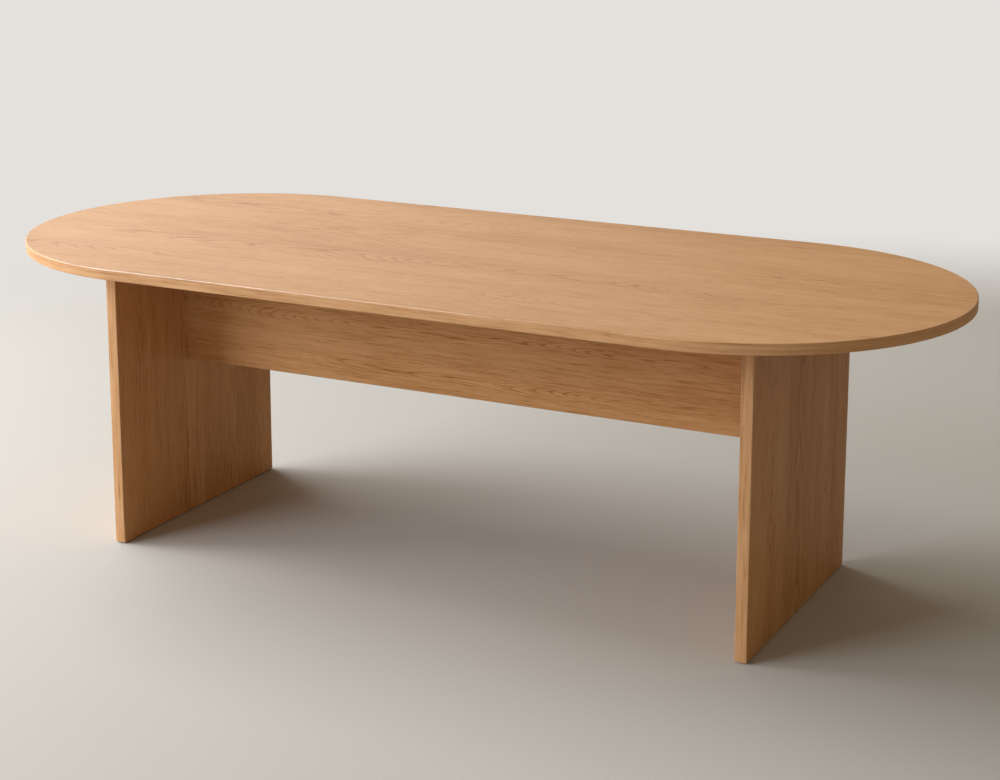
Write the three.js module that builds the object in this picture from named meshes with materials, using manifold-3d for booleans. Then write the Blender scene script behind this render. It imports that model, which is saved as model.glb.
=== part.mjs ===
// A racetrack conference table in oak-effect board: a thin top with round ends, two slab legs set in
// from the ends and one stretcher panel between them, with the fittings that hold them together.
// Millimetres. +X runs along the table, +Y to its back and +Z up. The origin is on the floor under
// the middle of the top.
import * as THREE from "three";
import { mergeVertices } from "three/addons/utils/BufferGeometryUtils.js";
import Module from "manifold-3d";

const wasm = await Module();
wasm.setup();

// Overall sizes
const TABLE_LENGTH = 2400;
const TABLE_WIDTH = 1040;
const TABLE_HEIGHT = 750;

// Boards and their edge bands
const TOP_THICKNESS = 25;
const LEG_THICKNESS = 28;
const LEG_WIDTH = 670;
const LEG_SPAN = 1670; // over the outer faces of the two legs
const STRETCHER_THICKNESS = 25;
const STRETCHER_DEPTH = 316;
const STRETCHER_FRONT = -46; // Y of the stretcher's front face, a little in front of the middle
const BAND_THICKNESS = 2;
const ARRIS_RADIUS = 2; // rounding of a band's outer edges
const ARRIS_STEPS = 3;
const GLUE_LINE = 0.2; // gap between a board and its band, and between boards that meet
const END_STEPS = 48; // facets round each half-circle end of the top

// Levelling feet: a pad under a threaded stem, in an insert let into the leg's lower edge
const FOOT_GAP = 3; // from the floor to the leg's lower edge with the foot screwed right in
const FOOT_INSET = 50; // from a leg's front or back edge to the foot's axis
const STEM_RADIUS = 4;
const STEM_NECK_RADIUS = 3;
const STEM_LENGTH = 36;
const STEM_CHAMFER = 0.8;
const PAD_RADIUS = 11;
const PAD_HEIGHT = 2.7;
const PAD_FLOOR = 0.8; // left under the stem's neck
const PAD_CHAMFER = 0.7;
const INSERT_RADIUS = 6;
const INSERT_LENGTH = 16;
const INSERT_FLANGE_RADIUS = 9;
const INSERT_FLANGE = 1.2;

// Cam fittings and dowels between the stretcher and the legs
const CAM_RADIUS = 7.3;
const CAM_LENGTH = 17.4;
const CAM_SETBACK = 34; // from the stretcher's end to the cam's axis
const CAM_HEIGHTS = { lower: 40, upper: 276 }; // above the stretcher's lower edge
const CAM_POCKET_RADIUS = 4.2;
const CAM_POCKET_REACH = 4.5; // past the cam's axis
const CAM_SLOT = { length: 9, width: 1.4, depth: 2 };
const CAM_CENTRE_RADIUS = 2.2;
const BOLT_THREAD_RADIUS = 3;
const BOLT_THREAD_LENGTH = 11;
const BOLT_COLLAR = { radius: 3.7, length: 2 };
const BOLT_SHANK_RADIUS = 2.5;
const BOLT_CHAMFER = 1;
const BOLT_NECK = { radius: 1.7, start: 29, end: 32 };
const BOLT_HEAD = { radius: 3.4, end: 36.5 };
const CAP_RADIUS = 8.6;
const CAP_THICKNESS = 1.3;
const CAP_SPIGOT = { radius: 1.8, length: 1.8 };
const DOWEL_RADIUS = 4;
const DOWEL_IN_LEG = 13;
const DOWEL_IN_STRETCHER = 21;
const DOWEL_CHAMFER = 1;
const DOWEL_HEIGHTS = { lower: 82, upper: 234 }; // above the stretcher's lower edge

// Angle brackets and screws under the top
const BRACKET_FLANGE = 40;
const BRACKET_WIDTH = 36;
const BRACKET_SHEET = 2;
const BRACKET_BEND = 4; // outer radius of the bend
const BRACKET_CORNER = 5; // rounding of a flange's free corners
const BRACKET_HOLE = 25; // from the bend to each screw hole
const BRACKET_HOLE_RADIUS = 2.4;
const LEG_BRACKET_Y = 210; // either side of the middle
const STRETCHER_BRACKET_X = 420;
const SCREW_RADIUS = 1.9;
const SCREW_LENGTH = 15;
const SCREW_POINT = 3; // length of the tapered point
const SCREW_HEAD_RADIUS = 4;
const SCREW_HEAD_HEIGHT = 2.4;
const SCREW_CROWN_RADIUS = 2.6; // flat left on the pan head
const SCREW_RECESS = { length: 4.4, width: 0.9, depth: 1.3 };
const SCREW_PILOT_DEPTH = 14;

// Clearances and facet counts of the small round pieces
const BORE_CLEARANCE = 0.3; // round a fixed fitting in its bore
const STEM_CLEARANCE = 0.8; // round a stem above its insert
const CUT_OVERRUN = 1; // how far a cutter starts outside the face it enters
const ROUND_SIDES = 12;
const FOOT_SIDES = 18;
const BEND_STEPS = 3;

// Derived places
const TOP_UNDERSIDE = TABLE_HEIGHT - TOP_THICKNESS;
const BAND_SEAT = BAND_THICKNESS + GLUE_LINE; // from a finished edge back to the board
const END_RADIUS = TABLE_WIDTH / 2;
const END_CENTRE = TABLE_LENGTH / 2 - END_RADIUS;
const PANEL_TOP = TOP_UNDERSIDE - GLUE_LINE;
const LEG_INNER = LEG_SPAN / 2 - LEG_THICKNESS;
const STRETCHER_BACK = STRETCHER_FRONT + STRETCHER_THICKNESS;
const STRETCHER_MIDDLE = STRETCHER_FRONT + STRETCHER_THICKNESS / 2;
const STRETCHER_BOTTOM = TOP_UNDERSIDE - STRETCHER_DEPTH;
const STRETCHER_END = LEG_INNER - GLUE_LINE;
const CAM_DEPTH = CAM_LENGTH + 2 * BORE_CLEARANCE;

const SIDES = [
  { name: "left", sign: -1 },
  { name: "right", sign: 1 },
];
const ENDS = [
  { name: "front", sign: -1 },
  { name: "back", sign: 1 },
];
const LEVELS = ["lower", "upper"];

const FINISHES = {
  oakBoard: { color: 0xc69a6d, roughness: 0.42, metalness: 0 },
  oakBand: { color: 0xc08f60, roughness: 0.38, metalness: 0 },
  beech: { color: 0xd6b48a, roughness: 0.7, metalness: 0 },
  steel: { color: 0xb9bcc0, roughness: 0.35, metalness: 1 },
  zincAlloy: { color: 0xa3a5a8, roughness: 0.45, metalness: 1 },
  nylon: { color: 0x2a2826, roughness: 0.55, metalness: 0 },
  capPlastic: { color: 0xb98a5c, roughness: 0.5, metalness: 0 },
};

const table = new THREE.Group();

/** Adds one named piece with a material of its own. */
function addPiece(parent, name, geometry, finish) {
  const mesh = new THREE.Mesh(geometry, new THREE.MeshStandardMaterial(FINISHES[finish]));
  mesh.name = name;
  parent.add(mesh);
  return mesh;
}

/** A closed geometry as a solid that can be cut and joined. */
function toSolid(geometry) {
  const bare = geometry.clone();
  bare.deleteAttribute("normal");
  bare.deleteAttribute("uv");
  const merged = mergeVertices(bare);
  return new wasm.Manifold(new wasm.Mesh({
    numProp: 3,
    vertProperties: new Float32Array(merged.attributes.position.array),
    triVerts: new Uint32Array(merged.index.array),
  }));
}

/** A solid's surface as a geometry for a mesh. */
function toGeometry(solid) {
  const mesh = solid.getMesh();
  const geometry = new THREE.BufferGeometry();
  geometry.setAttribute("position", new THREE.BufferAttribute(mesh.vertProperties, 3));
  geometry.setIndex(new THREE.BufferAttribute(mesh.triVerts, 1));
  geometry.computeVertexNormals();
  return geometry;
}

/** A geometry with each of the cutters taken out of it. */
function cut(geometry, cutters) {
  let solid = toSolid(geometry);
  for (const cutter of cutters) {
    solid = solid.subtract(toSolid(cutter));
  }
  return toGeometry(solid);
}

/** The turn that points a piece's own +Y axis along a direction. */
function turnTo(direction) {
  return new THREE.Quaternion().setFromUnitVectors(new THREE.Vector3(0, 1, 0), direction);
}

/** A round bore of the given depth into the face at point, in the given direction. */
function bore(radius, point, direction, depth, sides = ROUND_SIDES) {
  const length = depth + CUT_OVERRUN;
  const cylinder = new THREE.CylinderGeometry(radius, radius, length, sides);
  cylinder.translate(0, length / 2 - CUT_OVERRUN, 0);
  cylinder.applyQuaternion(turnTo(direction));
  return cylinder.translate(point.x, point.y, point.z);
}

/** A box between two corners. */
function box(low, high) {
  const size = high.map((value, axis) => value - low[axis]);
  const middle = high.map((value, axis) => (value + low[axis]) / 2);
  return new THREE.BoxGeometry(...size).translate(...middle);
}

/** A round piece about its own +Y axis, from [radius, height] points. */
function turned(points, sides = ROUND_SIDES) {
  const profile = points.map(([radius, height]) => new THREE.Vector2(radius, height));
  return new THREE.LatheGeometry(profile, sides);
}

/** A band's cross section: x runs out from the board, y across its edge, outer corners rounded. */
function bandSection(width) {
  const straight = BAND_THICKNESS - ARRIS_RADIUS;
  const half = width / 2;
  const points = [];
  if (straight > 0) {
    points.push([0, -half]);
  }
  for (let step = 0; step <= ARRIS_STEPS; step += 1) {
    const angle = (step / ARRIS_STEPS - 1) * Math.PI / 2;
    const out = straight + ARRIS_RADIUS * Math.cos(angle);
    points.push([out, ARRIS_RADIUS - half + ARRIS_RADIUS * Math.sin(angle)]);
  }
  for (const [out, across] of [...points].reverse()) {
    points.push([out, -across]);
  }
  return points;
}

/** A straight edge band of the given width and length, along +Z, standing out from x = 0. */
function straightBand(width, length) {
  const section = bandSection(width).map(([out, across]) => new THREE.Vector2(out, across));
  return new THREE.ExtrudeGeometry(new THREE.Shape(section), { depth: length, bevelEnabled: false });
}

/** The racetrack's outward directions and end centres, once round from the right end's front corner. */
function racetrackStations() {
  const stations = [];
  for (const { sign } of [...SIDES].reverse()) {
    for (let step = 0; step <= END_STEPS; step += 1) {
      const angle = (step / END_STEPS - sign / 2) * Math.PI;
      stations.push({ centre: sign * END_CENTRE, x: Math.cos(angle), y: Math.sin(angle) });
    }
  }
  return stations;
}

/** The top's board: the racetrack less its band, drilled from below for the bracket screws. */
function topBoard(brackets) {
  const radius = END_RADIUS - BAND_SEAT;
  const corner = ({ centre, x, y }) => new THREE.Vector2(centre + radius * x, radius * y);
  const outline = new THREE.Shape(racetrackStations().map(corner));
  const board = new THREE.ExtrudeGeometry(outline, { depth: TOP_THICKNESS, bevelEnabled: false });
  board.translate(0, 0, TOP_UNDERSIDE);
  return cut(board, brackets.map(topScrewBore));
}

/** The band round the top: its cross section carried once round the racetrack. */
function topEdgeBand() {
  const section = bandSection(TOP_THICKNESS);
  const stations = racetrackStations();
  const positions = [];
  for (const { centre, x, y } of stations) {
    for (const [out, across] of section) {
      const radius = END_RADIUS - BAND_THICKNESS + out;
      positions.push(centre + radius * x, radius * y, TABLE_HEIGHT - TOP_THICKNESS / 2 + across);
    }
  }
  const rows = stations.length;
  const columns = section.length;
  const faces = [];
  for (let row = 0; row < rows; row += 1) {
    const next = (row + 1) % rows;
    for (let column = 0; column < columns; column += 1) {
      const across = (column + 1) % columns;
      const a = row * columns + column;
      const b = next * columns + column;
      const c = next * columns + across;
      const d = row * columns + across;
      faces.push(a, b, c, a, c, d);
    }
  }
  const geometry = new THREE.BufferGeometry();
  geometry.setAttribute("position", new THREE.Float32BufferAttribute(positions, 3));
  geometry.setIndex(faces);
  geometry.computeVertexNormals();
  return geometry;
}

/** Where each bracket's corner is, and the direction from its panel out under the top. */
function bracketPlaces() {
  const places = [];
  for (const side of SIDES) {
    for (const end of ENDS) {
      places.push({
        name: `${side.name}_${end.name}_bracket`,
        panel: `${side.name}_leg`,
        corner: new THREE.Vector3(side.sign * LEG_INNER, end.sign * LEG_BRACKET_Y, TOP_UNDERSIDE),
        out: new THREE.Vector3(-side.sign, 0, 0),
      });
    }
    places.push({
      name: `stretcher_${side.name}_bracket`,
      panel: "stretcher",
      corner: new THREE.Vector3(side.sign * STRETCHER_BRACKET_X, STRETCHER_BACK, TOP_UNDERSIDE),
      out: new THREE.Vector3(0, 1, 0),
    });
  }
  return places;
}

/** The pilot bore for the screw that goes up into the top. */
function topScrewBore({ corner, out }) {
  const point = corner.clone().addScaledVector(out, BRACKET_HOLE);
  return bore(SCREW_RADIUS + BORE_CLEARANCE, point, new THREE.Vector3(0, 0, 1), SCREW_PILOT_DEPTH);
}

/** The pilot bore for the screw that goes into the bracket's panel. */
function panelScrewBore({ corner, out }) {
  const point = corner.clone().setZ(TOP_UNDERSIDE - BRACKET_HOLE);
  return bore(SCREW_RADIUS + BORE_CLEARANCE, point, out.clone().negate(), SCREW_PILOT_DEPTH);
}

/** A leg's board, bored for its feet, the stretcher's fittings and the bracket screws. */
function legBoard(side, brackets) {
  const half = LEG_WIDTH / 2 - BAND_SEAT;
  const faces = [side.sign * LEG_INNER, side.sign * LEG_SPAN / 2].sort((a, b) => a - b);
  const board = box([faces[0], -half, FOOT_GAP], [faces[1], half, PANEL_TOP]);
  const up = new THREE.Vector3(0, 0, 1);
  const outwards = new THREE.Vector3(side.sign, 0, 0);
  const cutters = brackets.filter(({ panel }) => panel === `${side.name}_leg`).map(panelScrewBore);
  for (const end of ENDS) {
    const foot = footPlace(side, end).setZ(FOOT_GAP);
    const flange = INSERT_FLANGE + BORE_CLEARANCE;
    cutters.push(bore(INSERT_FLANGE_RADIUS + BORE_CLEARANCE, foot, up, flange, FOOT_SIDES));
    const sleeve = INSERT_LENGTH + BORE_CLEARANCE;
    cutters.push(bore(INSERT_RADIUS + BORE_CLEARANCE, foot, up, sleeve, FOOT_SIDES));
    cutters.push(bore(STEM_RADIUS + STEM_CLEARANCE, foot, up, STEM_LENGTH, FOOT_SIDES));
  }
  for (const level of LEVELS) {
    const pin = fittingPlace(side, DOWEL_HEIGHTS[level]);
    cutters.push(bore(DOWEL_RADIUS + BORE_CLEARANCE, pin, outwards, DOWEL_IN_LEG + BORE_CLEARANCE));
    const bolt = fittingPlace(side, CAM_HEIGHTS[level]);
    const boltDepth = BOLT_THREAD_LENGTH + BORE_CLEARANCE;
    cutters.push(bore(BOLT_THREAD_RADIUS + BORE_CLEARANCE, bolt, outwards, boltDepth));
  }
  return cut(board, cutters);
}

/** Where a foot's axis meets the floor. */
function footPlace(side, end) {
  const x = side.sign * (LEG_SPAN - LEG_THICKNESS) / 2;
  return new THREE.Vector3(x, end.sign * (LEG_WIDTH / 2 - FOOT_INSET), 0);
}

/** Where a cam bolt's or dowel's axis comes out of the leg's inner face. */
function fittingPlace(side, height) {
  return new THREE.Vector3(side.sign * LEG_INNER, STRETCHER_MIDDLE, STRETCHER_BOTTOM + height);
}

/** Where a cam's axis meets the stretcher's back face. */
function camPlace(side, level) {
  const x = side.sign * (STRETCHER_END - CAM_SETBACK);
  return new THREE.Vector3(x, STRETCHER_BACK, STRETCHER_BOTTOM + CAM_HEIGHTS[level]);
}

/** The stretcher's board, bored for its cams, cam bolts, dowels and bracket screws. */
function stretcherBoard(brackets) {
  const board = box(
    [-STRETCHER_END, STRETCHER_FRONT, STRETCHER_BOTTOM + BAND_SEAT],
    [STRETCHER_END, STRETCHER_BACK, PANEL_TOP],
  );
  const forwards = new THREE.Vector3(0, -1, 0);
  const cutters = brackets.filter(({ panel }) => panel === "stretcher").map(panelScrewBore);
  for (const side of SIDES) {
    const inwards = new THREE.Vector3(-side.sign, 0, 0);
    for (const level of LEVELS) {
      const pin = fittingPlace(side, DOWEL_HEIGHTS[level]);
      const pinDepth = DOWEL_IN_STRETCHER + BORE_CLEARANCE;
      cutters.push(bore(DOWEL_RADIUS + BORE_CLEARANCE, pin, inwards, pinDepth));
      const bolt = fittingPlace(side, CAM_HEIGHTS[level]);
      cutters.push(bore(BOLT_COLLAR.radius + BORE_CLEARANCE, bolt, inwards, CAM_SETBACK));
      const camFace = camPlace(side, level);
      cutters.push(bore(CAM_RADIUS + BORE_CLEARANCE, camFace, forwards, CAM_DEPTH, FOOT_SIDES));
    }
  }
  return cut(board, cutters);
}

/** A foot's threaded insert: a flanged sleeve. */
function footInsert() {
  const inner = STEM_RADIUS + BORE_CLEARANCE;
  return turned([
    [inner, 0],
    [INSERT_FLANGE_RADIUS, 0],
    [INSERT_FLANGE_RADIUS, INSERT_FLANGE],
    [INSERT_RADIUS, INSERT_FLANGE],
    [INSERT_RADIUS, INSERT_LENGTH],
    [inner, INSERT_LENGTH],
    [inner, 0],
  ], FOOT_SIDES);
}

/** A foot's stem, from its neck in the pad to its chamfered upper end. */
function footStem() {
  const foot = PAD_FLOOR + BORE_CLEARANCE;
  const shoulder = FOOT_GAP + BORE_CLEARANCE;
  return turned([
    [0, foot],
    [STEM_NECK_RADIUS, foot],
    [STEM_NECK_RADIUS, shoulder],
    [STEM_RADIUS, shoulder],
    [STEM_RADIUS, STEM_LENGTH - STEM_CHAMFER],
    [STEM_RADIUS - STEM_CHAMFER, STEM_LENGTH],
    [0, STEM_LENGTH],
  ], FOOT_SIDES);
}

/** A foot's pad: a thin disc with a socket for the stem's neck. */
function footPad() {
  const socket = STEM_NECK_RADIUS + BORE_CLEARANCE;
  return turned([
    [0, 0],
    [PAD_RADIUS - PAD_CHAMFER, 0],
    [PAD_RADIUS, PAD_CHAMFER],
    [PAD_RADIUS, PAD_HEIGHT - PAD_CHAMFER],
    [PAD_RADIUS - PAD_CHAMFER, PAD_HEIGHT],
    [socket, PAD_HEIGHT],
    [socket, PAD_FLOOR],
    [0, PAD_FLOOR],
  ], FOOT_SIDES);
}

/** A cam about +Y, its driver face at y = 0, with a pocket for the bolt head towards the given side. */
function cam(side) {
  const boltDepth = STRETCHER_BACK - STRETCHER_MIDDLE - BORE_CLEARANCE;
  const body = new THREE.CylinderGeometry(CAM_RADIUS, CAM_RADIUS, CAM_LENGTH, FOOT_SIDES);
  body.translate(0, -CAM_LENGTH / 2, 0);
  const mouth = new THREE.Vector3(side.sign * CAM_RADIUS, -boltDepth, 0);
  const inwards = new THREE.Vector3(-side.sign, 0, 0);
  const { length, width, depth } = CAM_SLOT;
  return cut(body, [
    bore(CAM_POCKET_RADIUS, mouth, inwards, CAM_RADIUS + CAM_POCKET_REACH),
    bore(CAM_CENTRE_RADIUS, new THREE.Vector3(), new THREE.Vector3(0, -1, 0), depth),
    box([-length / 2, -depth, -width / 2], [length / 2, CUT_OVERRUN, width / 2]),
    box([-width / 2, -depth, -length / 2], [width / 2, CUT_OVERRUN, length / 2]),
  ]);
}

/** A cam bolt about +Y: y = 0 is the leg's face, its thread in the leg and its head in the cam. */
function camBolt() {
  return turned([
    [0, -BOLT_THREAD_LENGTH],
    [BOLT_THREAD_RADIUS - BOLT_CHAMFER, -BOLT_THREAD_LENGTH],
    [BOLT_THREAD_RADIUS, BOLT_CHAMFER - BOLT_THREAD_LENGTH],
    [BOLT_THREAD_RADIUS, GLUE_LINE],
    [BOLT_COLLAR.radius, GLUE_LINE],
    [BOLT_COLLAR.radius, GLUE_LINE + BOLT_COLLAR.length],
    [BOLT_SHANK_RADIUS, GLUE_LINE + BOLT_COLLAR.length],
    [BOLT_SHANK_RADIUS, BOLT_NECK.start],
    [BOLT_NECK.radius, BOLT_NECK.start],
    [BOLT_NECK.radius, BOLT_NECK.end],
    [BOLT_HEAD.radius, BOLT_NECK.end + BOLT_CHAMFER],
    [BOLT_HEAD.radius, BOLT_HEAD.end - BOLT_CHAMFER],
    [BOLT_HEAD.radius - BOLT_CHAMFER, BOLT_HEAD.end],
    [0, BOLT_HEAD.end],
  ]);
}

/** A cover cap about +Y: a low disc on the board's face with a spigot into the cam. */
function camCap() {
  const seat = GLUE_LINE;
  const crown = seat + CAP_THICKNESS;
  const { radius, length } = CAP_SPIGOT;
  return turned([
    [0, -length],
    [radius, -length],
    [radius, seat],
    [CAP_RADIUS, seat],
    [CAP_RADIUS, seat + CAP_THICKNESS / 2],
    [CAP_RADIUS - CAP_THICKNESS / 2, crown],
    [0, crown],
  ], FOOT_SIDES);
}

/** A dowel about +Y with chamfered ends: y = 0 is the leg's face. */
function dowel() {
  return turned([
    [0, -DOWEL_IN_LEG],
    [DOWEL_RADIUS - DOWEL_CHAMFER, -DOWEL_IN_LEG],
    [DOWEL_RADIUS, DOWEL_CHAMFER - DOWEL_IN_LEG],
    [DOWEL_RADIUS, DOWEL_IN_STRETCHER - DOWEL_CHAMFER],
    [DOWEL_RADIUS - DOWEL_CHAMFER, DOWEL_IN_STRETCHER],
    [0, DOWEL_IN_STRETCHER],
  ]);
}

/** A screw about +Y, its pan head seated at y = 0 and its point towards +Y. */
function screw() {
  const body = turned([
    [0, -SCREW_HEAD_HEIGHT],
    [SCREW_CROWN_RADIUS, -SCREW_HEAD_HEIGHT],
    [SCREW_HEAD_RADIUS, -SCREW_HEAD_HEIGHT / 2],
    [SCREW_HEAD_RADIUS, 0],
    [SCREW_RADIUS, 0],
    [SCREW_RADIUS, SCREW_LENGTH - SCREW_POINT],
    [0, SCREW_LENGTH],
  ]);
  const { length, width, depth } = SCREW_RECESS;
  const mouth = -SCREW_HEAD_HEIGHT - CUT_OVERRUN;
  const floor = depth - SCREW_HEAD_HEIGHT;
  return cut(body, [
    box([-length / 2, mouth, -width / 2], [length / 2, floor, width / 2]),
    box([-width / 2, mouth, -length / 2], [width / 2, floor, length / 2]),
  ]);
}

/** A flange in plan: a strip with two rounded corners at its free end, length along +X. */
function flangeOutline() {
  const half = BRACKET_WIDTH / 2;
  const far = BRACKET_FLANGE;
  const round = BRACKET_CORNER;
  const outline = new THREE.Shape();
  outline.moveTo(-CUT_OVERRUN, -half);
  outline.lineTo(far - round, -half);
  outline.absarc(far - round, round - half, round, -Math.PI / 2, 0, false);
  outline.absarc(far - round, half - round, round, 0, Math.PI / 2, false);
  outline.lineTo(-CUT_OVERRUN, half);
  return outline;
}

/** An angle bracket: the corner of the panel and the top is its origin, +X runs out under the top. */
function bracket() {
  const near = GLUE_LINE;
  const far = GLUE_LINE + BRACKET_SHEET;
  const bend = BRACKET_BEND;
  const inner = BRACKET_BEND - BRACKET_SHEET;
  const section = new THREE.Shape();
  section.moveTo(BRACKET_FLANGE, -near);
  section.lineTo(near + bend, -near);
  section.absarc(near + bend, -near - bend, bend, Math.PI / 2, Math.PI, false);
  section.lineTo(near, -BRACKET_FLANGE);
  section.lineTo(far, -BRACKET_FLANGE);
  section.lineTo(far, -near - bend);
  section.absarc(far + inner, -far - inner, inner, Math.PI, Math.PI / 2, true);
  section.lineTo(BRACKET_FLANGE, -far);
  const angle = new THREE.ExtrudeGeometry(section, {
    depth: BRACKET_WIDTH,
    bevelEnabled: false,
    curveSegments: BEND_STEPS,
  });
  angle.translate(0, 0, -BRACKET_WIDTH / 2);
  angle.rotateX(Math.PI / 2);
  const plan = new THREE.ExtrudeGeometry(flangeOutline(), {
    depth: BRACKET_FLANGE + CUT_OVERRUN,
    bevelEnabled: false,
    curveSegments: BEND_STEPS,
  });
  const level = plan.clone().translate(0, 0, -BRACKET_FLANGE - CUT_OVERRUN);
  const upright = plan.clone().rotateY(Math.PI / 2);
  const rounded = toSolid(angle).intersect(toSolid(level)).intersect(toSolid(upright));
  const up = new THREE.Vector3(0, 0, 1);
  const back = new THREE.Vector3(-1, 0, 0);
  return cut(toGeometry(rounded), [
    bore(BRACKET_HOLE_RADIUS, new THREE.Vector3(BRACKET_HOLE, 0, -far), up, far),
    bore(BRACKET_HOLE_RADIUS, new THREE.Vector3(far, 0, -BRACKET_HOLE), back, far),
  ]);
}

/** Puts a piece made about +Y at a point, pointing along a direction. */
function place(mesh, point, direction) {
  mesh.position.copy(point);
  mesh.quaternion.copy(turnTo(direction));
}

const brackets = bracketPlaces();

// The top and its band
addPiece(table, "top_board", topBoard(brackets), "oakBoard");
addPiece(table, "top_edge_band", topEdgeBand(), "oakBand");

// The legs, their edge bands and levelling feet
for (const side of SIDES) {
  addPiece(table, `${side.name}_leg_board`, legBoard(side, brackets), "oakBoard");
  for (const end of ENDS) {
    const band = straightBand(LEG_THICKNESS, PANEL_TOP - FOOT_GAP).rotateZ(end.sign * Math.PI / 2);
    const lipping = addPiece(table, `${side.name}_leg_${end.name}_band`, band, "oakBand");
    const edge = end.sign * (LEG_WIDTH / 2 - BAND_THICKNESS);
    lipping.position.set(side.sign * (LEG_SPAN - LEG_THICKNESS) / 2, edge, FOOT_GAP);

    const foot = new THREE.Group();
    foot.position.copy(footPlace(side, end));
    foot.rotation.x = Math.PI / 2;
    table.add(foot);
    const footName = `${side.name}_${end.name}_foot`;
    addPiece(foot, `${footName}_insert`, footInsert(), "steel").position.y = FOOT_GAP;
    addPiece(foot, `${footName}_stem`, footStem(), "steel");
    addPiece(foot, `${footName}_pad`, footPad(), "nylon");
  }
}

// The stretcher and the band on its lower edge
addPiece(table, "stretcher_board", stretcherBoard(brackets), "oakBoard");
const stretcherBand = straightBand(STRETCHER_THICKNESS, 2 * STRETCHER_END).rotateY(Math.PI / 2);
const lowerBand = addPiece(table, "stretcher_bottom_band", stretcherBand, "oakBand");
lowerBand.position.set(-STRETCHER_END, STRETCHER_MIDDLE, STRETCHER_BOTTOM + BAND_THICKNESS);

// The cam fittings and dowels at the stretcher's ends
for (const side of SIDES) {
  const inwards = new THREE.Vector3(-side.sign, 0, 0);
  for (const level of LEVELS) {
    const name = `${side.name}_${level}`;
    const camFace = camPlace(side, level);
    addPiece(table, `${name}_cam_cap`, camCap(), "capPlastic").position.copy(camFace);
    camFace.y -= BORE_CLEARANCE;
    addPiece(table, `${name}_cam`, cam(side), "zincAlloy").position.copy(camFace);
    const bolt = addPiece(table, `${name}_cam_bolt`, camBolt(), "steel");
    place(bolt, fittingPlace(side, CAM_HEIGHTS[level]), inwards);
    const pin = addPiece(table, `${name}_dowel`, dowel(), "beech");
    place(pin, fittingPlace(side, DOWEL_HEIGHTS[level]), inwards);
  }
}

// The angle brackets and their screws
for (const { name, corner, out } of brackets) {
  const fixing = new THREE.Group();
  fixing.position.copy(corner);
  fixing.rotation.z = Math.atan2(out.y, out.x);
  table.add(fixing);
  addPiece(fixing, name, bracket(), "steel");
  const seat = 2 * GLUE_LINE + BRACKET_SHEET;
  const topScrew = addPiece(fixing, `${name}_top_screw`, screw(), "steel");
  place(topScrew, new THREE.Vector3(BRACKET_HOLE, 0, -seat), new THREE.Vector3(0, 0, 1));
  const panelScrew = addPiece(fixing, `${name}_panel_screw`, screw(), "steel");
  place(panelScrew, new THREE.Vector3(seat, 0, -BRACKET_HOLE), new THREE.Vector3(-1, 0, 0));
}

export default table;
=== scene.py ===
"""Looks of a racetrack conference table in oak-effect board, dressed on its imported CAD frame.

Metres. +X runs along the table, +Y to its back and +Z up, with the floor at z = 0.
"""
import math
from typing import NamedTuple

import bpy
import numpy as np
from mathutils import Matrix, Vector


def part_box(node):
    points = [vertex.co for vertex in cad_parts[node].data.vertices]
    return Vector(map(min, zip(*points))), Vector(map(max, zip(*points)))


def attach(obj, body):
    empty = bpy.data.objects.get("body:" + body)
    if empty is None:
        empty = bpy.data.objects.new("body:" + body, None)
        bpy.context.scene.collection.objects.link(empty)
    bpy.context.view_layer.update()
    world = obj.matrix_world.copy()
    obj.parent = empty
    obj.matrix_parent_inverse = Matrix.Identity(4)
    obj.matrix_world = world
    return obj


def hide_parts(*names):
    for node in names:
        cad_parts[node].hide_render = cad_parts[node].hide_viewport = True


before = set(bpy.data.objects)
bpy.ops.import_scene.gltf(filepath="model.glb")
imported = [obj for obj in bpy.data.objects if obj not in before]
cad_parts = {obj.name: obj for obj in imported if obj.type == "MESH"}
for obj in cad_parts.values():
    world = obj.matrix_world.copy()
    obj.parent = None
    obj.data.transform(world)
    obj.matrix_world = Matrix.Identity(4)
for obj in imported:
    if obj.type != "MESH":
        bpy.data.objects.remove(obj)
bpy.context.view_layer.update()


class Layer(NamedTuple):
    """Soft noise: its swells a metre along and across the grain, its detail and its roughness."""

    along: float
    across: float
    detail: float = 2.0
    roughness: float = 0.5


class Shares(NamedTuple):
    """How far the streaks, the broad bands and the early wood change the tone of an oak face."""

    streaks: float
    bands: float
    early: float


class Rings(NamedTuple):
    """Growth rings: the spacing of heart lines, the heart's mean depth and swings, and the ring width.

    The swings are in radians a metre.
    """

    spacing: float
    depth: float
    swings: float
    width: float


class Speckle(NamedTuple):
    """Marks in a plain stuff: a seed, fine specks, and how far clouds and specks change the tone.

    relief is how high the specks stand, and unevenness is how far the clouds change the roughness.
    """

    seed: tuple
    specks: Layer
    cloud_share: float
    speck_share: float
    relief: float
    unevenness: float


class Softbox(NamedTuple):
    """A rectangular light: its place, what it faces, its width and height, its power and its colour."""

    name: str
    place: tuple
    target: tuple
    size: tuple
    watts: float
    colour: tuple


# The parts of the nodes' names
SIDES = ("left", "right")
ENDS = ("front", "back")
LEVELS = ("lower", "upper")
BRACKETS = tuple(f"{side}_{end}_bracket" for side in SIDES for end in ENDS)
BRACKETS += tuple(f"stretcher_{side}_bracket" for side in SIDES)

# The axes along, across and through a board or a band
X, Y, Z = range(3)
ALONG_X = (X, Y, Z)
LYING = (X, Z, Y)
UPRIGHT = (Z, Y, X)
UPRIGHT_EDGE = (Z, X, Y)

# The ways that the turned pieces point
TO_LEFT = (-1, 0, 0)
TO_RIGHT = (1, 0, 0)
TO_FRONT = (0, -1, 0)
TO_BACK = (0, 1, 0)
UP = (0, 0, 1)
INTO_PANEL = {"left": TO_LEFT, "right": TO_RIGHT, "stretcher": TO_FRONT}

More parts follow.
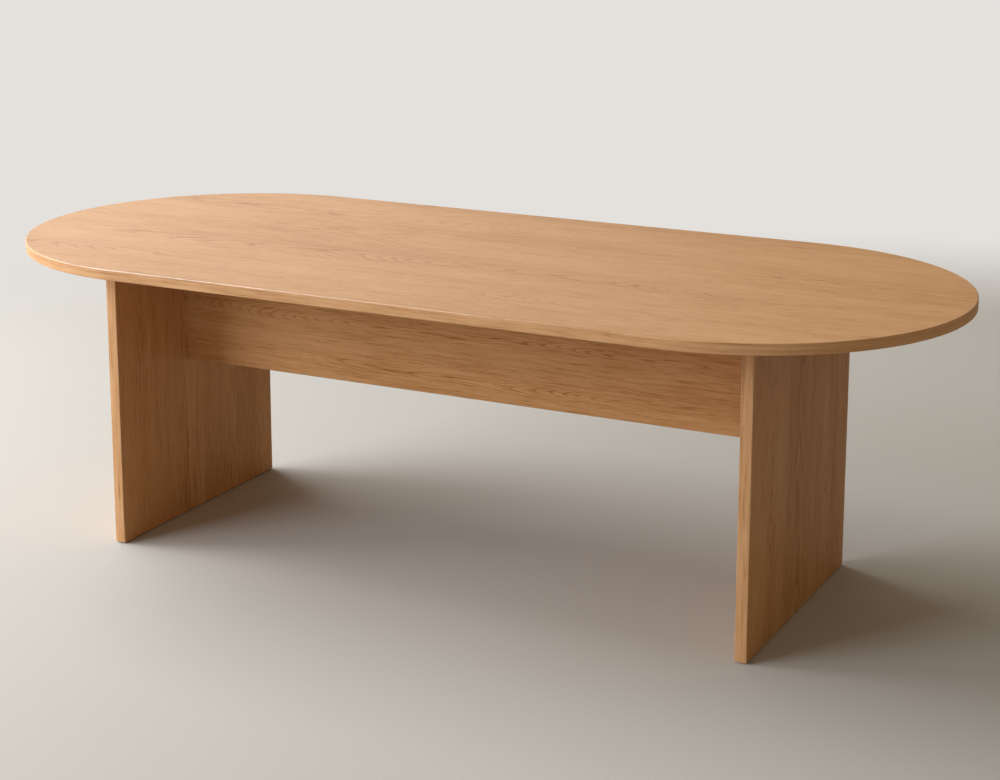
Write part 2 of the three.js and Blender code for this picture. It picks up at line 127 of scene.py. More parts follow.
# The photograph's frame and the camera that sees the table as it does, with its angles in radians
IMAGE_WIDTH = 1000
FOCAL_PIXELS = 2043.7
CAMERA_PLACE = (2.2206, -4.2289, 1.785)
CAMERA_TURN = 0.4699
CAMERA_PITCH = 0.2056
CAMERA_SHIFT = -0.15

# The surroundings: their dim light, the glow on one side, the way to it, and where it starts and is full
DIM_LIGHT = (0.29, 0.25, 0.184, 1.0)
SIDE_GLOW = (1.41, 1.4, 1.4, 1.0)
GLOW_SIDE = (-0.9, 0.44, 0.0)
GLOW_SPREAD = (0.65, 0.95)
BACKDROP_TONE = (228, 225, 221)
SOFTBOXES = (
    Softbox("left_softbox", (-5.0, -1.4, 2.2), (0.0, 0.0, 0.5), (2.6, 2.0), 212, (0.89, 0.945, 1.0)),
    Softbox("front_softbox", (-5.0, -6.0, 3.2), (0.0, 0.0, 0.4), (4.4, 3.5), 515, (0.77, 0.88, 1.0)),
    Softbox("high_softbox", (-6.0, 0.6, 7.45), (-0.3, 0.0, 0.7), (7.0, 2.5), 700, (0.865, 0.94, 1.0)),
)

# The floor: its middle, how far from there it starts to fade and has gone, and its mottle
FLOOR_MIDDLE = (1.8, -2.0)
FLOOR_FADE = (5.0, 6.7)
FLOOR_MOTTLE = Layer(260, 260, detail=3.0)
FLOOR_MOTTLE_SHARE = 0.6
FLOOR_PALE = (190, 183, 174)
FLOOR_DARK = (170, 162, 153)
FLOOR_ROUGHNESS = 0.95

# Fine shapes of the edge bands
BAND_LOW, BAND_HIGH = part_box("left_leg_front_band")
BAND_THICKNESS = BAND_HIGH.y - BAND_LOW.y
ARRIS = 0.002
ARRIS_STEPS = 8
END_STEPS = 144
SHARP_ANGLE = math.radians(32)

# Fine shapes of the small turned pieces. ROUNDING_LIMIT is a share of a corner's shorter side, and
# CAP_MIDDLE and SCREW_TIP are shares of a radius
ROUND_SIDES = 48
ROUNDING_STEPS = 4
ROUNDING_LIMIT = 0.45
THREAD_RINGS = 8
STEM_PITCH = 0.00125
STEM_THREAD = 0.0007
STEM_NECK = 0.003
STEM_SHOULDER = 0.0022
PAD_RINGS = 24
PAD_RIM = 0.0007
PAD_SOCKET = 0.0033
PAD_FLOOR = 0.0008
PAD_GROOVE = 0.0004
PAD_GROOVE_STEP = 0.0024
INSERT_BORE = 0.0043
INSERT_RADIUS = 0.006
INSERT_FLANGE = 0.0012
CAP_SPIGOT = 0.0018
CAP_SEAT = 0.002
CAP_RIM = 0.0005
CAP_RINGS = 24
CAP_MIDDLE = 0.04
CAP_CROWN_POWER = 6
BOLT_RADIUS = 0.003
BOLT_PITCH = 0.0021
BOLT_THREAD = 0.0006
BOLT_FACE = 0.0112
BOLT_COLLAR = 0.002
BOLT_SHANK = 0.0025
BOLT_NECK = 0.0017
BOLT_NECK_LENGTH = 0.003
BOLT_HEAD = 0.0045
BOLT_HEAD_RADIUS = 0.0034
BOLT_BEVEL = 0.001
DOWEL_FLUTES = 16
DOWEL_FLUTE = 0.00025
SCREW_CROWN = 0.0026
SCREW_RINGS = 14
SCREW_ARM = 0.0021
SCREW_SLOT = 0.00045
SCREW_RECESS = 0.0013
SCREW_HEAD = 0.004
SCREW_HEAD_HEIGHT = 0.0024
SCREW_RADIUS = 0.0019
SCREW_POINT = 0.003
SCREW_TIP = 0.08
SCREW_PITCH = 0.0016
SCREW_THREAD = 0.0005

# Oak tones as display colours, from the pores to the palest wood, and the mean place among them
OAK_TONES = (
    (0.0, (112, 62, 20)),
    (0.35, (166, 113, 65)),
    (0.6, (190, 138, 89)),
    (1.0, (210, 160, 114)),
)
OAK_MEAN = 0.68

# The oak's straight grain: its layers, where flecks and pores start and are full, how far they darken
# the oak, and how far they crowd into the early wood
STREAKS = Layer(7, 140, detail=4.0, roughness=0.62)
BROAD_BANDS = Layer(0.9, 14, detail=3.0, roughness=0.6)
FLECKS = Layer(15, 300, roughness=0.6)
FLECK_RISE = (0.08, 0.2)
FLECK_SHADE = 0.2
FLECK_CROWDING = 0.16
PORES = Layer(36, 900, detail=1.0)
PORE_RISE = (0.15, 0.28)
PORE_SHADE = 0.16
PORE_CROWDING = 0.12

# The oak's growth rings: how far the heart wanders across in metres, drifts in its swing in radians and
# swings as a share of its depth, how far the rings ripple in ring widths, how fast their early wood starts
# and falls off, and the patches that it shows in. The drift's swells are counted in a metre along the board
# and in one spacing across it
HEART_WANDER = Layer(2.2, 3.2, detail=3.0)
HEART_WANDER_REACH = 0.05
HEART_DRIFT_ALONG = 1.6
HEART_DRIFT_ACROSS = 0.9
HEART_DRIFT_REACH = 1.6
HEART_SWING = 0.85
RING_RIPPLE = Layer(10, 60, detail=3.0)
RING_RIPPLE_REACH = 0.6
EARLY_RISE = (0.0, 0.12)
EARLY_FALL_POWER = 2.0
EARLY_PATCHES = Layer(1.3, 5.5)
PATCH_RISE = (-0.16, 0.1)
PATCH_LEAST = 0.2

# The oak's lacquer: its relief in metres, the shares of pores and pebble in it, and what the pores and
# smears add to its roughness
OAK_RELIEF = 0.00012
PORE_RELIEF = 0.8
PORE_ROUGHNESS = 0.16
PEBBLE = Layer(420, 420, detail=1.0)
PEBBLE_RELIEF = 0.35
SMEAR = Layer(3.5, 5.5, detail=3.0)
SMEAR_ROUGHNESS = 0.12

# How each oak board and band looks
TOP_RINGS = Rings(spacing=0.22, depth=0.08, swings=1.0, width=0.0055)
STRETCHER_RINGS = Rings(spacing=0.105, depth=0.036, swings=1.4, width=0.0022)
LEG_RINGS = Rings(spacing=0.19, depth=0.06, swings=1.2, width=0.0035)
TOP_SHARES = Shares(streaks=0.8, bands=0.4, early=0.22)
STRETCHER_SHARES = Shares(streaks=0.8, bands=0.4, early=0.3)
LEG_SHARES = Shares(streaks=0.5, bands=0.65, early=0.2)
BAND_SHARES = Shares(streaks=1.2, bands=0.4, early=0.0)
TOP_GLOSS = 0.42
SIDE_GLOSS = 0.06
BAND_GLOSS = 0.35
ARRIS_GLOSS = 0.8
BOARD_ROUGHNESS = 0.42
BAND_ROUGHNESS = 0.6
ARRIS_ROUGHNESS = 0.24

# Raw chipboard: chips a metre, dust and tones, and how square to the board a face is that shows oak
CHIPS = 620.0
CHIP_DUST = Layer(1500, 1500)
CHIP_DUST_SHARE = 0.9
CHIPBOARD_TONES = (
    (0.0, (138, 106, 70)),
    (0.4, (182, 148, 106)),
    (1.0, (208, 180, 138)),
)
FACE_RISE = (0.6, 0.8)

# Metal, plastic and beech, and the mean tone of a plain stuff between its dark and its pale colour
MIDDLE_TONE = 0.5
METAL = Speckle(
    seed=(0.31, 0.17, 0.53),
    specks=Layer(2600, 2600),
    cloud_share=1.1,
    speck_share=0.4,
    relief=0.00003,
    unevenness=0.25,
)
PLATE_CLOUDS = Layer(90, 90, detail=4.0)
CASTING_CLOUDS = Layer(240, 240, detail=4.0)
PLASTIC = Speckle(
    seed=(0.11, 0.47, 0.29),
    specks=Layer(3200, 3200),
    cloud_share=1.0,
    speck_share=0.5,
    relief=0.00006,
    unevenness=0.15,
)
PLASTIC_CLOUDS = Layer(160, 160, detail=3.0)
BEECH_SEED = (0.2, 0.4, 0.6)
BEECH_STREAKS = Layer(40, 700, detail=3.0)
BEECH_MEAN = 0.6
BEECH_RAYS = Layer(260, 1900, detail=1.0)
BEECH_RAY_RISE = (0.14, 0.24)
BEECH_RAY_SHADE = 0.35
BEECH_PALE = (224, 190, 148)
BEECH_DARK = (150, 108, 70)
BEECH_RELIEF = 0.0001
BEECH_ROUGHNESS = 0.7

# The Mix node's sockets for colours, which it has beside those for numbers and vectors
MIX_SHARE = 0
MIX_FIRST = 6
MIX_SECOND = 7
MIX_RESULT = 2


# Surfaces

def grid_quads(rows, columns, closed_rows):
    """Quads between neighbouring points of a grid kept row by row, each row a closed ring."""
    row = np.arange(rows if closed_rows else rows - 1)[:, None]
    column = np.arange(columns)[None, :]
    after = (row + 1) % rows
    beside = (column + 1) % columns
    corners = (
        row * columns + column,
        after * columns + column,
        after * columns + beside,
        row * columns + beside,
    )
    return np.stack(np.broadcast_arrays(*corners), axis=-1).reshape(-1, 4)


def end_caps(rows, columns):
    """The flat faces that close a grid's first and last rings, wound to agree with its quads."""
    ring = np.arange(columns)
    return [ring, ring[::-1] + (rows - 1) * columns]


def new_piece(name, points, quads, caps, material):
    """A smooth-shaded piece with creases kept where its faces meet at more than SHARP_ANGLE.

    The faces are turned to point out: each quad's area vector, measured along the way from the piece's
    middle to the quad, adds up to more than nothing.
    """
    corners = points[quads]
    areas = np.cross(corners[:, 2] - corners[:, 0], corners[:, 3] - corners[:, 1])
    outward = ((corners.mean(axis=1) - points.mean(axis=0)) * areas).sum()
    order = 1 if outward > 0 else -1
    faces = quads[:, ::order].tolist() + [cap[::order].tolist() for cap in caps]
    mesh = bpy.data.meshes.new(name)
    mesh.from_pydata(points, [], faces)
    mesh.shade_smooth()
    mesh.set_sharp_from_angle(angle=SHARP_ANGLE)
    mesh.materials.append(material)
    piece = bpy.data.objects.new(name, mesh)
    bpy.context.scene.collection.objects.link(piece)
    return piece


def stand_for(piece, node, body):
    """The piece shows in place of its CAD node, on the same body."""
    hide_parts(node)
    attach(piece, body)


def finish_node(node, material):
    """A CAD node that shows as it is, in a finish of its own."""
    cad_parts[node].data.materials[0] = material


def shine_arrises(piece, out, material):
    """All faces of a band but the outermost flat one take the arrises' finish.

    out is how far each point of the band's section stands out.
    """
    outmost = np.isclose(out, out.max())
    face = outmost & np.roll(outmost, -1)
    piece.data.materials.append(material)
    slots = np.resize(~face, len(piece.data.polygons)).astype(np.int32)
    piece.data.polygons.foreach_set("material_index", slots)


def racetrack(end_centre):
    """Once round the top: the end centre's x and the outward direction, a half turn at each end."""
    half_turn = np.linspace(-0.5, 0.5, END_STEPS + 1) * np.pi
    outward = np.concatenate([half_turn, half_turn + np.pi])
    centre = np.repeat([end_centre, -end_centre], END_STEPS + 1)
    return centre, np.cos(outward), np.sin(outward)


def band_section(thickness, width):
    """A band's section: flat at the back, and a quarter round of radius ARRIS at each outer edge."""
    turn = np.linspace(0, 0.5, ARRIS_STEPS + 1) * np.pi
    out = thickness - ARRIS + ARRIS * np.sin(turn)
    across = width / 2 - ARRIS + ARRIS * np.cos(turn)
    back = np.zeros(1 if thickness > ARRIS else 0)
    edge = np.full(back.size, width / 2)
    half_out = np.concatenate([back, out])
    half_across = np.concatenate([edge, across])
    return np.concatenate([half_out, half_out[::-1]]), np.concatenate([half_across, -half_across[::-1]])


def top_board(material):
    """The racetrack outline at the board's two faces, joined by its rim and closed by two flat faces."""
    low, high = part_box("top_board")
    centre, out_x, out_y = racetrack(high.x - high.y)
    outline = np.stack([centre + high.y * out_x, high.y * out_y], axis=-1)
    count = len(outline)
    points = np.concatenate([np.column_stack([outline, np.full(count, z)]) for z in (high.z, low.z)])
    quads = grid_quads(2, count, False)
    return new_piece("top_board_finished", points, quads, end_caps(2, count), material)


def top_edge_band(face_finish, arris_finish):
    """The band's section carried once round the racetrack, standing out from the board's rim."""
    low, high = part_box("top_edge_band")
    centre, out_x, out_y = racetrack(high.x - high.y)
    out, across = band_section(BAND_THICKNESS, high.z - low.z)
    radius = high.y - BAND_THICKNESS + out[None, :]
    x = centre[:, None] + radius * out_x[:, None]
    y = radius * out_y[:, None]
    z = np.broadcast_to((high.z + low.z) / 2 + across, x.shape)
    points = np.stack([x, y, z], axis=-1).reshape(-1, 3)
    piece = new_piece("top_edge_band_finished", points, grid_quads(*x.shape, True), [], face_finish)
    shine_arrises(piece, out, arris_finish)
    return piece


def straight_band(node, axes, sign, face_finish, arris_finish):
    """The band's section carried from one end of a straight edge to the other, with both ends closed.

    axes are the numbers of the axes along and across the band and out of its face, and sign says which way
    it stands out.
    """
    along, across, outward = axes
    low, high = (np.array(corner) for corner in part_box(node))
    out, over = band_section(high[outward] - low[outward], high[across] - low[across])
    count = len(out)
    points = np.empty((2, count, 3))
    points[..., outward] = low[outward] + out if sign > 0 else high[outward] - out
    points[..., across] = (high[across] + low[across]) / 2 + over
    points[0, :, along] = low[along]
    points[1, :, along] = high[along]
    points = points.reshape(-1, 3)
    quads = grid_quads(2, count, False)
    piece = new_piece(f"{node}_finished", points, quads, end_caps(2, count), face_finish)
    shine_arrises(piece, out, arris_finish)
    return piece


def turned_piece(node, axis, radii, heights, material, tube=False):
    """Rings of points at the given radius and height, turned once about the axis through a CAD node.

    radii and heights are grids of rings by sides, and height 0 is where the axis enters the node's box. The
    first and last rings are closed with flat faces, or joined to each other in a tube.
    """
    low, high = (np.array(corner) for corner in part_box(node))
    forward = np.array(axis, float)
    start = (low + high) / 2 - forward * (high - low) / 2
    rings, sides = radii.shape
    turn = np.linspace(0, 2 * np.pi, sides, endpoint=False)
    first = np.roll(forward, 1)
    second = np.cross(forward, first)
    points = (
        start
        + (radii * np.cos(turn))[..., None] * first
        + (radii * np.sin(turn))[..., None] * second
        + heights[..., None] * forward
    ).reshape(-1, 3)
    caps = [] if tube else end_caps(rings, sides)
    return new_piece(f"{node}_finished", points, grid_quads(rings, sides, tube), caps, material)


def rounded(corners, rounding):
    """A profile of [radius, height] corners, each inner one rounded by a parabola.

    The parabola starts and ends at the distance rounding from the corner, or nearer on a short side.
    """
    corner = np.array(corners, float)
    before = corner[:-2] - corner[1:-1]
    after = corner[2:] - corner[1:-1]
    before_length = np.hypot(*before.T)
    after_length = np.hypot(*after.T)
    reach = np.minimum(rounding, ROUNDING_LIMIT * np.minimum(before_length, after_length))
    start = corner[1:-1] + before * (reach / before_length)[:, None]
    end = corner[1:-1] + after * (reach / after_length)[:, None]
    t = np.linspace(0, 1, ROUNDING_STEPS + 1)[None, :, None]
    curve = (1 - t) ** 2 * start[:, None] + 2 * t * (1 - t) * corner[1:-1, None] + t ** 2 * end[:, None]
    return np.concatenate([corner[:1], curve.reshape(-1, 2), corner[-1:]])


def revolved(node, axis, profile, material, tube=False):
    """A plain turned piece from a profile of [radius, height] points."""
    radii = np.repeat(profile[:, :1], ROUND_SIDES, axis=1)
    heights = np.repeat(profile[:, 1:], ROUND_SIDES, axis=1)
    return turned_piece(node, axis, radii, heights, material, tube)


def thread_depth(heights, start, end, pitch, depth):
    """How far a right-hand thread cuts in at each height and side.

    It is a V groove, which climbs by one pitch a turn and fades over one pitch at its ends.
    """
    turn = np.linspace(0, 1, ROUND_SIDES, endpoint=False)
    phase = (heights[:, None] / pitch - turn) % 1.0
    groove = 1 - np.abs(2 * phase - 1)
    fade = np.clip(np.minimum(heights - start, end - heights) / pitch, 0, 1)
    return depth * groove * fade[:, None]


def threaded(node, axis, profile, start, end, pitch, depth, material):
    """A turned piece whose profile carries a right-hand thread from height start to height end."""
    count = int((end - start) / pitch * THREAD_RINGS)
    added = np.linspace(start, end, count)
    before = profile[profile[:, 1] < start]
    after = profile[profile[:, 1] > end]
    shank = np.interp(added, profile[:, 1], profile[:, 0])
    outline = np.concatenate([before, np.column_stack([shank, added]), after])
    cut = thread_depth(outline[:, 1], start, end, pitch, depth)
    heights = np.repeat(outline[:, 1:], ROUND_SIDES, axis=1)
    return turned_piece(node, axis, outline[:, :1] - cut, heights, material)


# Finishes

def srgb(red, green, blue):
    """A colour given as 0 to 255 display values, in the linear values that shaders take, and opaque."""
    linear = (((value / 255 + 0.055) / 1.055) ** 2.4 for value in (red, green, blue))
    return (*linear, 1.0)


class Pattern:
    """Nodes that make a pattern in a node tree. Each method adds nodes and gives back an output."""

    def __init__(self, tree):
        self.tree = tree

    def feed(self, socket, value):
        """Links an output to the socket, or sets the socket to a plain value."""
        if isinstance(value, bpy.types.NodeSocket):
            self.tree.links.new(value, socket)
        else:
            socket.default_value = value

    def node(self, kind, inputs, **settings):
        """A node of the given kind with its settings, and its inputs by name or number."""
        made = self.tree.nodes.new(kind)
        for name, value in settings.items():
            setattr(made, name, value)
        for key, value in inputs.items():
            self.feed(made.inputs[key], value)
        return made

    def math(self, operation, *values, clamp=False):
        """A sum on one, two or three numbers."""
        made = self.node("ShaderNodeMath", dict(enumerate(values)), operation=operation, use_clamp=clamp)
        return made.outputs[0]

    def scaled(self, value, share, base, clamp=False):
        """A share of the value on top of the base."""
        return self.math("MULTIPLY_ADD", value, share, base, clamp=clamp)

    def noise(self, vector, layer, through=1.0):
        """A layer of noise about zero, from -0.5 to 0.5.

        through is how fast it changes through the board, measured by how fast it changes across.
        """
        stretch = (layer.along, layer.across, through * layer.across)
        placed = self.node("ShaderNodeMapping", {"Vector": vector, "Scale": stretch}).outputs[0]
        inputs = {"Vector": placed, "Scale": 1.0, "Detail": layer.detail, "Roughness": layer.roughness}
        return self.math("SUBTRACT", self.node("ShaderNodeTexNoise", inputs).outputs[0], 0.5)

    def step(self, value, low, high, smooth=True):
        """0 below low and 1 above high, with an even or a smooth rise between."""
        kind = "SMOOTHSTEP" if smooth else "LINEAR"
        inputs = {"Value": value, "From Min": low, "From Max": high}
        return self.node("ShaderNodeMapRange", inputs, interpolation_type=kind).outputs[0]

    def ramp(self, value, stops):
        """A colour that runs through stops, each a place and a display colour."""
        made = self.node("ShaderNodeValToRGB", {"Fac": value})
        elements = made.color_ramp.elements
        while len(elements) < len(stops):
            elements.new(0.5)
        for element, (place, colour) in zip(elements, stops):
            element.position = place
            element.color = srgb(*colour)
        return made.outputs[0]

    def mix(self, share, first, second):
        """The first colour, giving way to the second by share."""
        inputs = {MIX_SHARE: share, MIX_FIRST: first, MIX_SECOND: second}
        return self.node("ShaderNodeMix", inputs, data_type="RGBA").outputs[MIX_RESULT]


class Finish(Pattern):
    """A material and its pattern."""

    def __init__(self, name):
        self.material = bpy.data.materials.new(name)
        self.material.use_nodes = True
        super().__init__(self.material.node_tree)
        self.shader = self.tree.nodes["Principled BSDF"]

    def grain(self, axes, seed):
        """Object coordinates in the order along, across and through the board, moved on by seed."""
        coordinates = self.node("ShaderNodeTexCoord", {}).outputs["Object"]
        parts = self.node("ShaderNodeSeparateXYZ", {0: coordinates}).outputs
        ordered = self.node("ShaderNodeCombineXYZ", {n: parts[axis] for n, axis in enumerate(axes)})
        moved = self.node("ShaderNodeVectorMath", {0: ordered.outputs[0], 1: seed}, operation="ADD")
        return moved.outputs[0]

    def bump(self, height, depth):
        """Relief of the given depth in metres."""
        relief = self.node("ShaderNodeBump", {"Height": height, "Distance": depth})
        self.feed(self.shader.inputs["Normal"], relief.outputs[0])

    def shade(self, **values):
        """Sets the shader's own sockets, named with underscores for spaces."""
        for name, value in values.items():
            self.feed(self.shader.inputs[name.replace("_", " ")], value)
        return self.material


def growth_rings(finish, grain, rings):
    """How much of the open early wood shows, from 0 to 1, on a face cut flat through the growth rings.

    A ring is where the distance from the tree's heart, sqrt(across^2 + depth^2), passes a multiple of the
    ring width. The heart's depth swings along the board as a sine, so the rings close into arches on the
    heart lines.
    """
    parts = finish.node("ShaderNodeSeparateXYZ", {0: grain}).outputs
    across = finish.scaled(finish.noise(grain, HEART_WANDER), HEART_WANDER_REACH, parts[1])
    across = finish.math("PINGPONG", across, rings.spacing / 2)
    drift = finish.noise(grain, Layer(HEART_DRIFT_ALONG, HEART_DRIFT_ACROSS / rings.spacing, detail=1.0))
    drift = finish.math("MULTIPLY", drift, HEART_DRIFT_REACH)
    swing = finish.math("SINE", finish.scaled(parts[0], rings.swings, drift))
    depth = finish.scaled(swing, HEART_SWING * rings.depth, rings.depth)
    squares = finish.math("MULTIPLY_ADD", across, across, finish.math("MULTIPLY", depth, depth))
    passed = finish.math("DIVIDE", finish.math("SQRT", squares), rings.width)
    passed = finish.scaled(finish.noise(grain, RING_RIPPLE), RING_RIPPLE_REACH, passed)
    in_ring = finish.math("FRACT", passed)
    early = finish.math("POWER", finish.math("SUBTRACT", 1.0, in_ring), EARLY_FALL_POWER)
    early = finish.math("MULTIPLY", early, finish.step(in_ring, *EARLY_RISE))
    patch = finish.step(finish.noise(grain, EARLY_PATCHES), *PATCH_RISE)
    return finish.math("MULTIPLY", early, finish.scaled(patch, 1 - PATCH_LEAST, PATCH_LEAST))


def oak_tone(finish, grain, through, shares, rings=None):
    """The oak's tone from 0, dark, to 1, pale, and its open pores.

    Streaks, broad bands and short flecks lie along the grain, and change through the board as fast as
    through says. The flecks and pores crowd into the early wood of the growth rings.
    """
    flecks = finish.noise(grain, FLECKS, through)
    pores = finish.noise(grain, PORES, through)
    tone = finish.scaled(finish.noise(grain, STREAKS, through), shares.streaks, OAK_MEAN)
    tone = finish.scaled(finish.noise(grain, BROAD_BANDS, through), shares.bands, tone)
    if rings:
        early = growth_rings(finish, grain, rings)
        tone = finish.scaled(early, -shares.early, tone)
        flecks = finish.scaled(early, FLECK_CROWDING, flecks)
        pores = finish.scaled(early, PORE_CROWDING, pores)
    flecks = finish.step(flecks, *FLECK_RISE)
    pores = finish.step(pores, *PORE_RISE)
    tone = finish.scaled(flecks, -FLECK_SHADE, tone)
    return finish.scaled(pores, -PORE_SHADE, tone, clamp=True), pores


def oak_surface(finish, grain, colour, pores, roughness, gloss):
    """An oak-print face: pressed pores, a fine pebble in the lacquer, smears and a soft sheen."""
    pebble = finish.math("MULTIPLY", finish.noise(grain, PEBBLE), PEBBLE_RELIEF)
    finish.bump(finish.scaled(pores, -PORE_RELIEF, pebble), OAK_RELIEF)
    roughness = finish.scaled(pores, PORE_ROUGHNESS, roughness)
    roughness = finish.scaled(finish.noise(grain, SMEAR), SMEAR_ROUGHNESS, roughness)
    return finish.shade(Base_Color=colour, Roughness=roughness, Specular_IOR_Level=gloss)


def oak_board(name, axes, seed, shares, rings, gloss):
    """Oak-effect faces with raw chipboard on the edges that have no band.

    axes are the numbers of the axes along, across and through the board.
    """
    finish = Finish(name)
    grain = finish.grain(axes, seed)
    tone, pores = oak_tone(finish, grain, 1.0, shares, rings)
    oak = finish.ramp(tone, OAK_TONES)
    chips = finish.node("ShaderNodeTexVoronoi", {"Vector": grain, "Scale": CHIPS, "Randomness": 1.0})
    chip_tone = finish.node("ShaderNodeSeparateColor", {0: chips.outputs["Color"]}).outputs[0]
    chip_tone = finish.scaled(finish.noise(grain, CHIP_DUST), CHIP_DUST_SHARE, chip_tone)
    chipboard = finish.ramp(chip_tone, CHIPBOARD_TONES)
    normal = finish.node("ShaderNodeNewGeometry", {}).outputs["True Normal"]
    facing = finish.node("ShaderNodeSeparateXYZ", {0: normal}).outputs[axes[2]]
    face = finish.step(finish.math("ABSOLUTE", facing), *FACE_RISE)
    colour = finish.mix(face, chipboard, oak)
    return oak_surface(finish, grain, colour, pores, BOARD_ROUGHNESS, gloss)


def oak_band(name, axes, seed, through=1.0):
    """A straight-grained oak-effect band's finishes: its satin face and its scraped, shinier arrises."""
    finishes = []
    for place, roughness, gloss in (
        ("face", BAND_ROUGHNESS, BAND_GLOSS),
        ("arris", ARRIS_ROUGHNESS, ARRIS_GLOSS),
    ):
        finish = Finish(f"{name}_{place}")
        grain = finish.grain(axes, seed)
        tone, pores = oak_tone(finish, grain, through, BAND_SHARES)
        colour = finish.ramp(tone, OAK_TONES)
        finishes.append(oak_surface(finish, grain, colour, pores, roughness, gloss))
    return finishes


def speckled(name, speckle, clouds, pale, dark, roughness):
    """A plain stuff: clouds in its colour and roughness, and fine specks in its colour and relief."""
    finish = Finish(name)
    grain = finish.grain(ALONG_X, speckle.seed)
    cloud = finish.noise(grain, clouds)
    speck = finish.noise(grain, speckle.specks)
    tone = finish.scaled(speck, speckle.speck_share, MIDDLE_TONE)
    tone = finish.scaled(cloud, speckle.cloud_share, tone)
    colour = finish.ramp(tone, ((0.0, dark), (1.0, pale)))
    finish.bump(speck, speckle.relief)
    finish.shade(Base_Color=colour, Roughness=finish.scaled(cloud, speckle.unevenness, roughness))
    return finish


def metal(name, clouds, pale, dark, roughness):
    """Plain metal: cloudy colour and roughness, and an even fine grit."""
    return speckled(name, METAL, clouds, pale, dark, roughness).shade(Metallic=1.0)


def moulded(name, pale, dark, roughness):
    """Moulded plastic: an even colour with faint clouds and a fine spark-eroded grain."""
    return speckled(name, PLASTIC, PLASTIC_CLOUDS, pale, dark, roughness).material


def beech_dowel(name):
    """Pale beech with short dark ray flecks along the dowel."""
    finish = Finish(name)
    grain = finish.grain(ALONG_X, BEECH_SEED)
    streaks = finish.noise(grain, BEECH_STREAKS)
    rays = finish.step(finish.noise(grain, BEECH_RAYS), *BEECH_RAY_RISE)
    tone = finish.scaled(rays, -BEECH_RAY_SHADE, finish.math("ADD", streaks, BEECH_MEAN))
    finish.bump(streaks, BEECH_RELIEF)
    colour = finish.ramp(tone, ((0.0, BEECH_DARK), (1.0, BEECH_PALE)))
    return finish.shade(Base_Color=colour, Roughness=BEECH_ROUGHNESS)


oak_top = oak_board(
    "oak_top", ALONG_X, seed=(3.1, 0.33, 0.0), shares=TOP_SHARES, rings=TOP_RINGS, gloss=TOP_GLOSS
)
oak_stretcher = oak_board(
    "oak_stretcher",
    LYING,
    seed=(2.6, 0.068, 0.4),
    shares=STRETCHER_SHARES,
    rings=STRETCHER_RINGS,
    gloss=SIDE_GLOSS,
)
oak_legs = {
    side: oak_board(f"oak_{side}_leg", UPRIGHT, seed, LEG_SHARES, LEG_RINGS, SIDE_GLOSS)
    for side, seed in zip(SIDES, ((1.3, 0.61, 0.9), (5.7, 0.78, 1.6)))
}
top_band_oak = oak_band("oak_top_band", LYING, seed=(0.9, 0.3, 2.2), through=0.023)
leg_band_oak = oak_band("oak_leg_band", UPRIGHT_EDGE, seed=(4.4, 1.2, 0.8))
stretcher_band_oak = oak_band("oak_stretcher_band", ALONG_X, seed=(2.6, 0.9, 0.5))
zinc_plate = metal(
    "zinc_plated_steel", PLATE_CLOUDS, pale=(196, 199, 203), dark=(150, 152, 156), roughness=0.34
)
cast_zinc = metal(
    "cast_zinc_alloy", CASTING_CLOUDS, pale=(172, 174, 177), dark=(122, 124, 128), roughness=0.48
)
black_nylon = moulded("black_nylon", pale=(52, 49, 46), dark=(30, 28, 27), roughness=0.52)
oak_plastic = moulded("oak_coloured_plastic", pale=(196, 152, 110), dark=(170, 126, 86), roughness=0.46)
beech = beech_dowel("beech_dowel")


# Boards and bands

for side in SIDES:
    finish_node(f"{side}_leg_board", oak_legs[side])
    for end, sign in zip(ENDS, (-1, 1)):
        band_node = f"{side}_leg_{end}_band"
        leg_band = straight_band(band_node, UPRIGHT_EDGE, sign, *leg_band_oak)
        stand_for(leg_band, band_node, "table")
finish_node("stretcher_board", oak_stretcher)
stretcher_band = straight_band("stretcher_bottom_band", ALONG_X, -1, *stretcher_band_oak)
stand_for(stretcher_band, "stretcher_bottom_band", "table")
stand_for(top_board(oak_top), "top_board", "table")
stand_for(top_edge_band(*top_band_oak), "top_edge_band", "table")


# Fittings

def foot_pad(node):
    """A disc with rounded rims, ring grooves below that follow a raised cosine, and the stem's socket."""
    low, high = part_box(node)
    height = high.z - low.z
    radius = (high.x - low.x) / 2
    reach = np.linspace(PAD_GROOVE_STEP / 2, radius - PAD_RIM, PAD_RINGS)
    groove = PAD_GROOVE / 2 * (1 - np.cos(2 * np.pi * reach / PAD_GROOVE_STEP))
    sole = np.column_stack([reach, groove])
    rim = rounded([
        (radius - PAD_RIM, 0),
        (radius, 0),
        (radius, height),
        (PAD_SOCKET, height),
        (PAD_SOCKET, PAD_FLOOR),
        (PAD_SOCKET / 2, PAD_FLOOR),
    ], PAD_RIM)
    return revolved(node, UP, np.concatenate([sole, rim[1:]]), black_nylon)


def foot_stem(node):
    """A neck in the pad, then a threaded shank with a chamfered upper end."""
    low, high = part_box(node)
    length = high.z - low.z
    radius = (high.x - low.x) / 2
    profile = np.array([
        (STEM_NECK, 0),
        (STEM_NECK, STEM_SHOULDER),
        (radius, STEM_SHOULDER),
        (radius, length - STEM_THREAD),
        (radius - STEM_THREAD, length),
    ])
    thread = (STEM_SHOULDER + STEM_PITCH / 2, length - STEM_THREAD)
    return threaded(node, UP, profile, *thread, STEM_PITCH, STEM_THREAD, zinc_plate)


